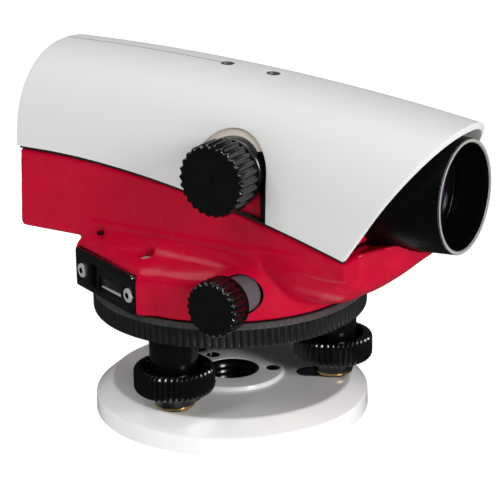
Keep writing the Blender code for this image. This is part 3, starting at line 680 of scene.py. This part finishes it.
def focus_well():
    """The dark collar inside the cover's notch; a black liner in the gap round it, with a strip at its foot,
    as painted shade; and a beige step, the cover's inner wall painted in shade.
    """
    x, z, radius = NOTCH
    collar = [(4.8, -28.2), (4.8, -29.3), (9.9, -29.3), (10.4, -28.6), (10.6, -28.2)]
    collar += [(10.6, -22.0), (4.8, -22.0)]
    item = spun("focus_collar", rounded(collar, 0.3), 96, "Y", FOCUS_AXIS)
    finish(item, "black_plastic", "alidade")
    # A black liner in the gap round the collar, running down to a strip along the hem: painted shade.
    gap_shade = [(x + polar(radius - 0.03, a)[0], z + polar(radius - 0.03, a)[1]) for a in range(0, 181, 6)]
    gap_shade += [(x - radius + 0.2, hem(x - radius) + 0.2), (x - radius + 2.6, hem(x - radius + 2.6) + 0.2)]
    gap_shade += [(x - radius + 2.6, z - 4)]
    inner = radius - 2.4
    gap_shade += [(x + polar(inner, a)[0], z + polar(inner, a)[1]) for a in range(200, -21, -10)]
    gap_shade += [(x + inner, hem(x + inner) + 0.2), (x + radius - 0.2, hem(x + radius) + 0.2)]
    finish(under_cover("notch_gap_shade", gap_shade, 1.3), "black_plastic", "alidade")
    # A beige step at the top of the notch: the cover's inner wall, painted in shade.
    step = [(x + polar(radius - 0.04, a)[0], z + polar(radius - 0.04, a)[1]) for a in range(35, 156, 5)]
    step += [(x + polar(radius - 2.3, a)[0], z + polar(radius - 2.3, a)[1]) for a in range(150, 39, -5)]
    finish(under_cover("notch_wall_shaded", step, 0.7), "shaded_cover_wall", "alidade")


def window():
    turn = pod_frame()
    plate = prism("reading_plate_moulded", rounded(plate_outline(), 1.5, 5), -0.7, 0.9, turn)
    painted(plate, "black_plastic")
    cutters = [
        prism("recess", rounded(rectangle(-12.6, 6.6, -4.4, 3.6), 0.6), 0.3, 3, turn),
        prism("slit", rounded(rectangle(-11.9, -9.9, -3.9, 3.1), 0.3), -0.3, 3, turn),
        prism("opening", rounded(rectangle(-8.6, 5.6, -3.9, 0.4), 0.4), -3, 3, turn),
    ]
    for along in (-18.7, 11.2):
        hole = [(0, 3), (2.75, 3), (2.75, 0.55), (2.2, 0.1), (0, 0.1)]
        cutter = spun("screw_hole", hole, 40, "Z", (along, -0.6))
        cutter.data.transform(turn)
        cutters.append(cutter)
    for cutter in cutters:
        painted(cutter, "black_plastic")
    boolean(plate, cutters, keep_looks=True)
    bevel(plate, 0.22, 2, 50)
    finish(plate, None, "alidade", ["reading_plate"])
    pane = prism("reading_pane", rectangle(-8.5, 5.5, -3.8, 0.3), -0.6, -0.35, turn)
    finish(bevel(pane, 0.1, 2), "dark_glass", "alidade", ["reading_glass"])
    strip = prism("reading_scale", [(-7.6, -3.4), (5.2, -3.4), (5.2, -2.3), (-7.6, -2.9)], -0.34, -0.2, turn)
    finish(strip, "satin_nickel", "alidade")
    for name, along in (("rear", -18.7), ("front", 11.2)):
        head = [(0, 1.35, 0), (0.9, 1.35, 0), (2.35, 1.35, 0.5), (2.35, 0.2, 0), (0, 0.2, 0)]
        head = rounded(head, 0.3, 4, False)
        screw = painted(spun(f"plate_screw_turned_{name}", head, 48, "Z", (along, -0.6)), "satin_nickel")
        screw.data.transform(turn)
        key = [(along + polar(1.1, 60 * i)[0], -0.6 + polar(1.1, 60 * i)[1]) for i in range(6)]
        # The hex socket's walls take black_metal: painted shade in the socket of the nickel head.
        boolean(screw, [painted(prism("key", key, 0.5, 3, turn), "black_metal")], keep_looks=True)
        finish(bevel(screw, 0.08, 2, 50), None, "alidade", [f"plate_screw_{name}"])


# ---------------------------------------------------------------- cover


def shell_point(x, row, straight, curved):
    """A point of the cover's outer face; rows run from the right hem over the ridge to the left hem."""
    half = straight + curved
    side = -1 if row <= half else 1
    step = row if row <= half else 2 * half - row
    spring = crest(x) - ARCH_HEIGHT
    if step < straight:
        z = hem(x) + (spring - hem(x)) * step / straight
        return side * (HALF_WIDTH + SIDE_DRAFT * (spring - z)), z
    angle = math.pi / 2 * (step - straight) / curved
    y = HALF_WIDTH * math.cos(angle) ** (2 / ARCH_POWER) if step < half else 0.0
    return side * y, spring + ARCH_HEIGHT * math.sin(angle) ** (2 / ARCH_POWER)


def front_x(row, straight, curved):
    """Where a row of the cover meets the slanted plane of its front edge."""
    x = 70.0
    for _ in range(30):
        x = COVER_TIP[0] + COVER_SLANT * (shell_point(x, row, straight, curved)[1] - COVER_TIP[1])
    return x


def cover():
    straight, curved, stations = 12, 30, 110
    rows = 2 * (straight + curved) + 1
    points = []
    for row in range(rows):
        end = front_x(row, straight, curved)
        for i in range(stations + 1):
            x = REAR_X + (end - REAR_X) * i / stations
            y, z = shell_point(x, row, straight, curved)
            points.append((x, y, z))
    faces = []
    wide = stations + 1
    for row in range(rows - 1):
        for i in range(stations):
            here = row * wide + i
            faces.append((here, here + 1, here + wide + 1, here + wide))
    item = from_faces("cover_moulding", points, faces)
    thick = item.modifiers.new("wall", "SOLIDIFY")
    thick.thickness = COVER_WALL * MM
    thick.offset = -1
    thick.use_even_offset = True
    apply(item)
    x, z, radius = NOTCH
    mouth = [(x + polar(radius, a)[0], z + polar(radius, a)[1]) for a in range(0, 181, 4)]
    mouth += [(x - radius, 60), (x + radius, 60)]
    boolean(item, [prism("mouth", mouth, 12, 60, SIDEWAYS)])
    bevel(item, COVER_EDGE_ROUND, 3, 50)
    painted(item, "cover_white")
    cutters = []
    for screw_x in COVER_SCREWS_X:
        top = crest(screw_x)
        dimple = [(0, top + 2), (2.3, top + 2), (2.3, top + 0.1), (1.9, top - 0.6)]
        dimple += [(1.9, top - 5), (0, top - 5)]
        # The dimple walls take grey_plastic: painted shade in the screw holes of the white cover.
        cutters.append(painted(spun("dimple", dimple, 32, centre=(screw_x, 0)), "grey_plastic"))
    boolean(item, cutters, keep_looks=True)
    line = []
    for i in range(40):
        x = REAR_X - 1 + (COVER_SCREWS_X[0] - REAR_X - 1) * i / 39
        top = crest(x)
        line.append([(x, -0.32, top + 1), (x, 0.32, top + 1), (x, 0.22, top - 0.3), (x, -0.22, top - 0.3)])
    boolean(item, [painted(loft("crest_line", line), "cover_shade")], keep_looks=True)
    finish(item, None, "alidade", ["top_cover"])


def slotted_screw(name, place, top, radius, look, node):
    """A round-headed screw with a driver slot across it."""
    x, y = place
    head = [(0, top), (radius - 0.3, top), (radius, top - 0.5), (radius, top - 1.6), (1.0, top - 1.8)]
    head += [(1.0, top - 3.8), (0, top - 3.8)]
    screw = spun(name, rounded(head, 0.2, 3, False), 40, centre=place)
    boolean(screw, [box("slot", (x - 3, y - 0.3, top - 0.6), (x + 3, y + 0.3, top + 1))])
    finish(bevel(screw, 0.06, 2, 50), look, "alidade", [node])


def screws():
    for end, x in zip(("rear", "front"), COVER_SCREWS_X):
        name = f"cover_screw_slotted_{end}"
        slotted_screw(name, (x, 0), crest(x) - 1.0, 1.7, "black_metal", f"cover_screw_{end}")
    slotted_screw("shoulder_screw_slotted", SHOULDER_SCREW, 59.6, 2.2, "satin_nickel", "shoulder_screw")


# ---------------------------------------------------------------- red housing


def arch_ring(x, inset, bottom, corner=0.0, steps=24):
    width = HALF_WIDTH - inset
    height = ARCH_HEIGHT - inset
    spring = crest(x) - ARCH_HEIGHT
    side = []
    for i in range(steps + 1):
        angle = math.pi / 2 * i / steps
        y = width * math.cos(angle) ** (2 / ARCH_POWER) if i < steps else 0.0
        side.append((x, y, spring + height * math.sin(angle) ** (2 / ARCH_POWER)))
    foot = width + SIDE_DRAFT * (spring - bottom)
    lower = [(x, foot, bottom)]
    if corner:
        lower = []
        for i in range(7):
            u, v = polar(corner, -90 + 15 * i)
            lower.append((x, foot - corner + u, bottom + corner + v))
    half = lower + side
    return half + [(x, -y, z) for x, y, z in reversed(half[:-1])]


def arch_solid(name, inset, bottom, start, end, stations=40, corner=0.0):
    xs = [start + (end - start) * i / (stations - 1) for i in range(stations)]
    return loft(name, [arch_ring(x, inset, bottom, corner) for x in xs])


def pod_radius(angle):
    """Distance from the axis to the block's wall, for angles from 180 to 360 degrees."""
    corner, shoulder, blend = 215.8, 262.5, 272.0
    flat = POD_DISTANCE / math.cos(math.radians(angle - POD_NORMAL))
    if corner <= angle <= shoulder:
        return flat
    corner_r = POD_DISTANCE / math.cos(math.radians(corner - POD_NORMAL))
    if 180 <= angle < corner:
        return 43.2 + (corner_r - 43.2) * ((angle - 180) / (corner - 180)) ** 1.8
    if shoulder < angle < blend:
        shoulder_r = POD_DISTANCE / math.cos(math.radians(shoulder - POD_NORMAL))
        share = (angle - shoulder) / (blend - shoulder)
        share = share * share * (3 - 2 * share)
        return shoulder_r + (BLOCK_R - shoulder_r) * share
    return BLOCK_R


BLOCK_STEPS = 120


def block_ring(z, shrink=0.0, waist=0.0):
    half = []
    for i in range(BLOCK_STEPS + 1):
        angle = 180 + 180 * i / BLOCK_STEPS
        x, y = polar(pod_radius(angle) - shrink, angle)
        narrow_y = max(y, -(HALF_WIDTH + 0.9))
        narrow_x = max(min(x, 36.5), -36.0)
        half.append((x + (narrow_x - x) * waist, y + (narrow_y - y) * waist, z))
    return half + [(x, -y, z) for x, y, z in reversed(half[1:-1])]


def hull_ring(x, width, top, bottom, steps=28):
    made = []
    for i in range(steps * 2 + 1):
        angle = math.pi * i / (steps * 2)
        y = width * math.copysign(abs(math.cos(angle)) ** 0.8, math.cos(angle))
        made.append((x, y, top - (top - bottom) * math.sin(angle) ** 0.8))
    return made


def smooth_stations(stations, count):
    """More stations between the given ones, on a smooth curve through them."""
    made = []
    last = len(stations) - 1
    for i in range(count):
        t = last * i / (count - 1)
        k = min(int(t), last - 1)
        u = t - k
        picks = [stations[max(k - 1, 0)], stations[k], stations[k + 1], stations[min(k + 2, last)]]
        station = []
        for a, b, c, d in zip(*picks):
            square = (2 * a - 5 * b + 4 * c - d) * u * u
            cube = (3 * b - a - 3 * c + d) * u**3
            station.append(0.5 * (2 * b + (c - a) * u + square + cube))
        made.append(tuple(station))
    return made


def hem_region(drop, top):
    points = [(REAR_X - 5, hem(REAR_X) - drop)]
    for i in range(61):
        x = REAR_X + (FRONT_X + 6 - REAR_X) * i / 60
        points.append((x, hem(x) - drop))
    return points + [(FRONT_X + 6, top), (REAR_X - 5, top)]


def tube_radius(x):
    return RIM_R + (ROOT_R - RIM_R) * (RIM_X - x) / (RIM_X - FRONT_X)


def housing():
    body = arch_solid("housing_casting", 1.0, FLOOR_Z, REAR_X + 0.3, FRONT_X, 60, 2.4)
    boolean(body, [prism("ledge", hem_region(1.2, 130), -60, 60, SIDEWAYS)])
    inner = arch_solid("inner", COVER_WALL + 0.3, 70, REAR_X + 0.9, FRONT_X - 0.9, 50)
    lower = loft(
        "lower",
        [
            block_ring(BLOCK_BOTTOM, 0.5),
            block_ring(BLOCK_BOTTOM + 0.5),
            block_ring(WALL_TOP - 3.0),
            block_ring(WALL_TOP - 1.2, 0.1, 0.01),
            block_ring(WALL_TOP + 0.2, 0.35, 0.07),
            block_ring(WALL_TOP + 1.4, 0.6, 0.2),
            block_ring(WALL_TOP + 2.3, 0.9, 0.37),
            block_ring(SHOULDER_Z - 1.0, 1.1, 0.53),
            block_ring(SHOULDER_Z - 0.4, 1.2, 0.66),
            block_ring(SHOULDER_Z + 0.8, 1.3, 0.8),
            block_ring(CREASE_Z - 1.2, 1.4, 0.92),
            block_ring(CREASE_Z, 1.5, 1.0),
            block_ring(CREASE_Z + 2, 3.0, 1.0),
        ],
    )
    hull_shape = [
        (20, 29.6, 67.4, BLOCK_BOTTOM + 4.1),
        (36, 29.9, 67.4, BLOCK_BOTTOM + 0.7),
        (45.3, 29.5, 67.4, BLOCK_BOTTOM + 1.6),
        (52, 28.8, 67.4, 48.0),
        (FRONT_X - 0.4, 27.0, 67.4, 53.2),
    ]
    hull = loft("hull", [hull_ring(*s) for s in smooth_stations(hull_shape, 40)])
    chin_shape = [
        (48.6, 23.0, 66.5, 47.0),
        (56, 22.6, 67.0, 50.2),
        (63, 17.5, 68.6, 55.1),
        (69, 12.0, 70.0, 60.2),
        (74.2, 6.0, 70.5, 64.4),
    ]
    chin = loft("chin", [hull_ring(*s) for s in smooth_stations(chin_shape, 40)])
    boolean(body, [inner, lower, hull, chin], "UNION")
    return body


def carve_housing(body):
    upper = arch_solid("upper", COVER_WALL + 2.9, FLOOR_Z + 3, REAR_X + 3.3, FRONT_X - 3, 30)
    hatch = box("hatch", (REAR_X + 8, -22, 84), (FRONT_X - 8, 22, 130))
    rings = [block_ring(BLOCK_BOTTOM - 1, 3.0), block_ring(WALL_TOP - 3, 3.0), block_ring(58.3, 7.0, 0.35)]
    cavity = loft("cavity", rings)
    bore = [(0, 96), (tube_radius(96) + 0.25, 96), (tube_radius(50) + 0.25, 50), (0, 50)]
    cutters = [upper, hatch, cavity, spun("bore", bore, 120, "X", (0, TUBE_Z))]
    cutters.append(rod("eyepiece_bore", 9.6, -70, -50, "X", (0, TUBE_Z), 72))
    for sign in (-1, 1):
        ends = sorted((sign * 25, sign * 60))
        cutters.append(rod("recess", 6.6, *ends, "Y", DRIVE_AXIS, 72))
    cutters.append(rod("focus_bore", 5.0, -60, -15, "Y", FOCUS_AXIS))
    turn = pod_frame()
    cutters.append(prism("plate_recess", rounded(plate_outline(0.25), 1.6, 4), -1.0, 12, turn))
    x, y = SHOULDER_SCREW
    cutters.append(rod("screw_hole", 2.6, 56.5, 75, centre=(x, y), steps=40))
    cutters.append(rod("pocket", 9.0, 56.4, 72, centre=LEVEL_CENTRE, steps=64))
    cutters.append(rod("drill", 1.3, 63.4, 72, centre=DRAIN_HOLE, steps=24))
    boolean(body, cutters)
    return body


def plate_outline(grow=0.0):
    left, right, bottom, top = -22.6 - grow, 13.9 + grow, -6.4 - grow, 6.6 + grow
    return [(left, bottom, 0.4), (right, bottom, 0.4), (right, top), (left, top)]


def red_housing():
    body = housing()
    remesh = body.modifiers.new("remesh", "REMESH")
    remesh.mode = "VOXEL"
    remesh.voxel_size = BLEND_GRID * MM
    relax = body.modifiers.new("relax", "SMOOTH")
    relax.factor = 0.5
    relax.iterations = BLEND_ROUNDS
    apply(body)
    carve_housing(body)
    finish(body, "red_paint", "alidade", ["main_housing"])
    # A black disc at the bottom of the drilled hole: painted shade that makes the hole look dark.
    hole_shade = rod("shoulder_hole_shade", 1.25, 63.3, 64.1, centre=DRAIN_HOLE, steps=24)
    finish(hole_shade, "black_metal", "alidade")


# ---------------------------------------------------------------- telescope


def objective():
    wall = 1.25
    profile = [(RIM_R - 0.15, RIM_X - 0.02), (RIM_R, RIM_X - 0.25), (RIM_R, RIM_X - 0.9)]
    profile += [(tube_radius(x), x) for x in (84, 76, 68, 60, 52)]
    bore = RIM_R - wall
    profile += [(bore - 0.6, 52), (bore - 0.6, 66)]
    grooves = 14
    for i in range(grooves):
        x = 74.2 + 9.6 * i / grooves
        profile += [(bore, x), (bore, x + 0.35), (bore - 0.3, x + 0.42), (bore - 0.3, x + 0.6)]
    profile += [(bore, RIM_X - 0.8), (bore, RIM_X - 0.5)]
    profile += [(bore + 0.1, RIM_X - 0.02)]
    tube = spun("objective_tube_turned", profile, 144, "X", (0, TUBE_Z), smooth=30)
    finish(tube, "black_tube", "alidade", ["objective_tube"])
    rim = [(RIM_R - 0.2, RIM_X), (RIM_R + 0.02, RIM_X - 0.3), (RIM_R - 0.1, RIM_X - 0.34)]
    rim += [(bore + 0.1, RIM_X - 0.34), (bore - 0.02, RIM_X - 0.3), (bore + 0.15, RIM_X)]
    finish(spun("objective_rim", rim, 144, "X", (0, TUBE_Z)), "satin_nickel", "alidade")
    lens = [(0, 73.5)]
    for i in range(1, 13):
        radius = 15.4 * i / 12
        lens.append((radius, 73.5 - radius * radius / 95))
    lens += [(15.4, 68.4), (0, 68.4)]
    glass = spun("objective_lens_ground", lens, 96, "X", (0, TUBE_Z), smooth=25)
    finish(glass, "coated_glass", "alidade", ["objective_lens"])
    ring = rounded([(14.9, 71.4), (15.9, 71.9), (15.9, 74.0), (15.3, 74.0), (14.9, 72.8)], 0.15)
    finish(spun("lens_retainer", ring, 96, "X", (0, TUBE_Z)), "black_metal", "alidade")


def eyepiece():
    centre = (0, TUBE_Z)
    barrel = [(7.6, -46.0), (9.0, -46.0), (9.2, -46.2)]
    for i in range(9):
        x = -47.0 - 1.3 * i
        barrel += [(9.2, x), (9.2, x - 0.8), (8.95, x - 1.0), (8.95, x - 1.1)]
    barrel += [(9.2, -60.0), (9.2, -68.7), (9.0, -69.0), (7.8, -69.0), (7.6, -68.8)]
    item = spun("eyepiece_barrel_turned", barrel, 96, "X", centre)
    finish(item, "black_metal", "alidade", ["eyepiece_barrel"])
    ring = [(9.5, -63.4), (11.3, -63.4), (11.7, -63.7), (11.8, -64.2), (11.8, -65.0)]
    ring += [(11.6, -65.1), (11.6, -65.4), (11.7, -65.5, 0.3), (11.95, -65.8, 1.0)]
    ring += [(12.0, -66.2, 1.0), (12.0, -69.2, 1.0), (11.9, -69.6, 0.8)]
    ring += [(11.6, -69.9, 0.2), (11.2, -70.1, 0.0), (9.7, -70.1, 0.0), (9.5, -69.9, 0.0)]
    item = spun("diopter_ring_ribbed", ring, DIOPTER_RIBS * 12, "X", centre, DIOPTER_RIBS, 0.55, 0.7, 30)
    finish(item, "black_plastic", "diopter_ring", ["diopter_ring"])
    cup = [(9.0, -70.4), (11.2, -70.4), (11.4, -71.4), (10.9, -71.7), (10.9, -72.1)]
    cup += [(11.4, -72.4), (11.4, -74.2), (10.8, -75.2), (9.4, -75.2), (8.6, -73.6), (8.0, -70.9)]
    item = spun("eyecup_moulded", rounded(cup, 0.45, 4), 96, "X", centre)
    finish(item, "rubber", "diopter_ring", ["eyecup"])
    cell = [(5.3, -56.0), (7.3, -56.0), (7.3, -67.8), (7.1, -68.0), (6.3, -68.0)]
    cell += [(6.2, -67.2), (5.9, -66.9), (5.9, -66.3), (5.4, -65.8), (5.4, -62.0), (5.3, -61.6)]
    item = spun("ocular_cell_turned", cell, 72, "X", centre)
    finish(item, "black_metal", "ocular", ["ocular_cell"])
    lens = [(0, -66.2)] + [(5.3 * i / 8, -66.2 + 0.038 * (5.3 * i / 8) ** 2) for i in range(1, 9)]
    lens += [(5.3 * i / 8, -61.4 - 0.0425 * (5.3 * i / 8) ** 2) for i in range(8, 0, -1)] + [(0, -61.4)]
    item = spun("ocular_lens_ground", lens, 64, "X", centre, smooth=25)
    finish(item, "coated_glass", "ocular", ["ocular_lens"])


# ---------------------------------------------------------------- circular level


def circular_level():
    x, y = LEVEL_CENTRE
    cup = [(0, 59.0), (6.9, 59.0), (6.9, 67.4), (7.2, 68.2), (8.3, 68.2), (8.6, 67.8)]
    cup += [(8.6, 66.4), (8.3, 66.2), (8.3, 65.8), (8.6, 65.6), (8.6, 57.2), (8.4, 57.0), (0, 57.0)]
    item = spun("level_housing_turned", cup, 96, centre=LEVEL_CENTRE)
    finish(item, "black_metal", "alidade", ["level_housing"])
    dome = [(0, 66.4)] + [(6.3 * i / 10, 66.4 - 0.0252 * (6.3 * i / 10) ** 2) for i in range(1, 11)]
    dome += [(6.5, 65.1), (6.5, 59.4), (0, 59.4)]
    item = spun("level_vial_ground", dome, 72, centre=LEVEL_CENTRE, smooth=25)
    finish(item, "spirit", "alidade", ["level_vial"])
    mark = [(2.5, 66.2), (2.75, 66.2), (2.75, 66.28), (2.5, 66.3)]
    finish(spun("level_ring_mark", mark, 48, centre=LEVEL_CENTRE), "black_metal", "alidade")
    bubble = [(0, 66.44), (1.2, 66.42), (1.9, 66.36), (2.1, 66.28), (2.1, 66.2), (0, 66.2)]
    finish(spun("level_bubble", bubble, 36, centre=LEVEL_CENTRE), "scale_white", "alidade")
    side = [(6.0, 76.0), (6.0, 68.6), (-7.6, 68.6), (-7.6, 70.0), (-2.0, 70.0), (3.6, 76.0)]
    stand = Matrix.Translation((x * MM, y * MM, 0)) @ SIDEWAYS
    hood = prism("level_prism_moulded", rounded(side, 0.7, 4), -6.0, 6.0, stand)
    boolean(
        hood,
        [
            rod("view", 5.4, 60, 71.5, centre=(x - 1.5, y), steps=64),
            prism("slant", [(-2.4, 70.8), (4.4, 77.6), (3.6, 70.8)], -4.6, 4.6, stand),
        ],
    )
    finish(bevel(hood, 0.35, 3, 50), "black_plastic", "alidade", ["level_prism"])
    pane = prism("level_prism_pane", [(-1.4, 70.9), (3.6, 75.5), (3.4, 70.9)], -4.5, 4.5, stand)
    finish(bevel(pane, 0.2, 2, 50), "mirror", "alidade")


# ---------------------------------------------------------------- scene


def camera_and_light():
    camera = bpy.data.objects.new("camera", bpy.data.cameras.new("camera"))
    bpy.context.scene.collection.objects.link(camera)
    bpy.context.scene.camera = camera
    camera.data.lens = CAMERA_LENS
    camera.data.sensor_width = 36
    camera.data.shift_x, camera.data.shift_y = CAMERA_SHIFT
    place = Vector(CAMERA_PLACE) * MM
    aim = Vector(CAMERA_AIM) * MM
    look = (aim - place).to_track_quat("-Z", "Y").to_matrix().to_4x4()
    roll = Matrix.Rotation(math.radians(CAMERA_ROLL), 4, "Z")
    camera.matrix_world = Matrix.Translation(place) @ look @ roll

    world = bpy.data.worlds.new("studio")
    bpy.context.scene.world = world
    world.use_nodes = True
    world.node_tree.nodes["Background"].inputs["Color"].default_value = (1, 1, 1, 1)
    world.node_tree.nodes["Background"].inputs["Strength"].default_value = 0.045
    bpy.context.scene.view_settings.view_transform = "Standard"

    def lamp(name, place, aim, size, power, colour=(1, 1, 1)):
        light = bpy.data.lights.new(name, "AREA")
        light.shape = "RECTANGLE"
        light.size, light.size_y = size
        light.energy = power
        light.color = colour
        item = bpy.data.objects.new(name, light)
        bpy.context.scene.collection.objects.link(item)
        turn = (Vector(aim) - Vector(place)).to_track_quat("-Z", "Y").to_matrix().to_4x4()
        item.matrix_world = Matrix.Translation(place) @ turn
        return item

    front = lamp("front", (-0.5, -1.0, 0.95), (0, 0, 0.07), (0.6, 0.4), 5.5)
    front.visible_glossy = False
    lamp("right", (1.1, -0.3, 0.45), (0, 0, 0.06), (0.3, 0.45), 10.5)
    left = lamp("left", (-1.2, -0.3, 0.5), (0, 0, 0.04), (0.6, 0.5), 3)
    left.visible_glossy = False
    lamp("top", (-0.1, 0.1, 1.2), (0, 0, 0.05), (1.2, 0.9), 8.5)


def floor():
    mesh = bpy.data.meshes.new("studio_floor")
    work = bmesh.new()
    bmesh.ops.create_grid(work, x_segments=1, y_segments=1, size=30.0)
    work.to_mesh(mesh)
    work.free()
    item = link("studio_floor", mesh)
    look = Look("studio_white", (0.3, 0.3, 0.3), 0.6).mottle(300, 0.004)
    look.shader.inputs["Emission Color"].default_value = (1, 1, 1, 1)
    look.shader.inputs["Emission Strength"].default_value = 0.97
    mesh.materials.append(look.material)
    item.visible_glossy = False


repaint_nodes()
base_plate()
for key in FOOT_ANGLES:
    foot_knob(key)
tribrach()
circle_ring()
knobs()
focus_well()
window()
objective()
eyepiece()
circular_level()
cover()
screws()
red_housing()
camera_and_light()
floor()
